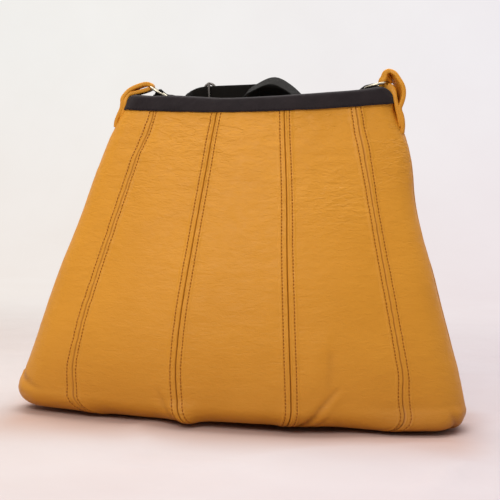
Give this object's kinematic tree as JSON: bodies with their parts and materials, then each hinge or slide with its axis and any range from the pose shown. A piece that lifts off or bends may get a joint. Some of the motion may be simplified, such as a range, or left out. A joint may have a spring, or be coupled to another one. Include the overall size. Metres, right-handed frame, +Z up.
{
  "type": "trapeze bag",
  "caption": "Leather shoulder bag, wider at its base than at its rim, made of tapered panels, with a bound rim, folded side tabs that hold rings, and a webbing strap with a slider.",
  "frame": {"origin": "on the floor under the middle of the base, halfway between the side seams", "axes": "+X to the right seen from the front, +Y to the back, +Z up; the front with the visible seams faces -Y"},
  "size_m": [0.385, 0.1576, 0.2987],
  "materials": {
    "tan_leather": "smooth, softly shining",
    "binding_cloth": "matt cotton cloth",
    "lining_cloth": "matt cotton cloth",
    "webbing": "matt woven webbing",
    "ring_metal": "polished plated wire",
    "slider_metal": "polished plated wire",
    "snap_metal": "plated"
  },
  "bodies": {
    "bag": {"front_panel_1": "tan_leather", "front_panel_2": "tan_leather", "front_panel_3": "tan_leather", "front_panel_4": "tan_leather", "front_panel_5": "tan_leather", "back_panel_1": "tan_leather", "back_panel_2": "tan_leather", "back_panel_3": "tan_leather", "back_panel_4": "tan_leather", "back_panel_5": "tan_leather", "lining_front": "lining_cloth", "lining_back": "lining_cloth", "slip_pocket": "lining_cloth", "rim_binding_front": "binding_cloth", "rim_binding_back": "binding_cloth", "snap_socket": "snap_metal", "snap_stud": "snap_metal", "socket_washer": "snap_metal", "stud_washer": "snap_metal", "left_tab": "tan_leather", "right_tab": "tan_leather"},
    "left_ring": {"left_ring": "ring_metal"},
    "right_ring": {"right_ring": "ring_metal"},
    "strap": {"strap_webbing": "webbing"},
    "slider": {"strap_slider": "slider_metal"}
  },
  "joints": [
    {"name": "strap_swing", "type": "hinge", "parent": "bag", "child": "strap", "pos_m": [-0.08184, 0.04, 0.274], "axis": [0.9986, 0, 0.0525], "range_deg": [0, 150]},
    {"name": "left_ring_spin", "type": "hinge", "parent": "bag", "child": "left_ring", "pos_m": [-0.08184, 0.03, 0.274], "axis": [0.5, 0, 0.866], "continuous": true},
    {"name": "right_ring_spin", "type": "hinge", "parent": "bag", "child": "right_ring", "pos_m": [0.10664, 0.03, 0.28391], "axis": [-0.2588, 0, 0.9659], "continuous": true},
    {"name": "slider_slide", "type": "slide", "parent": "strap", "child": "slider", "axis": [0.9982, 0, 0.0593], "range_m": [0, 0.034]}
  ]
}
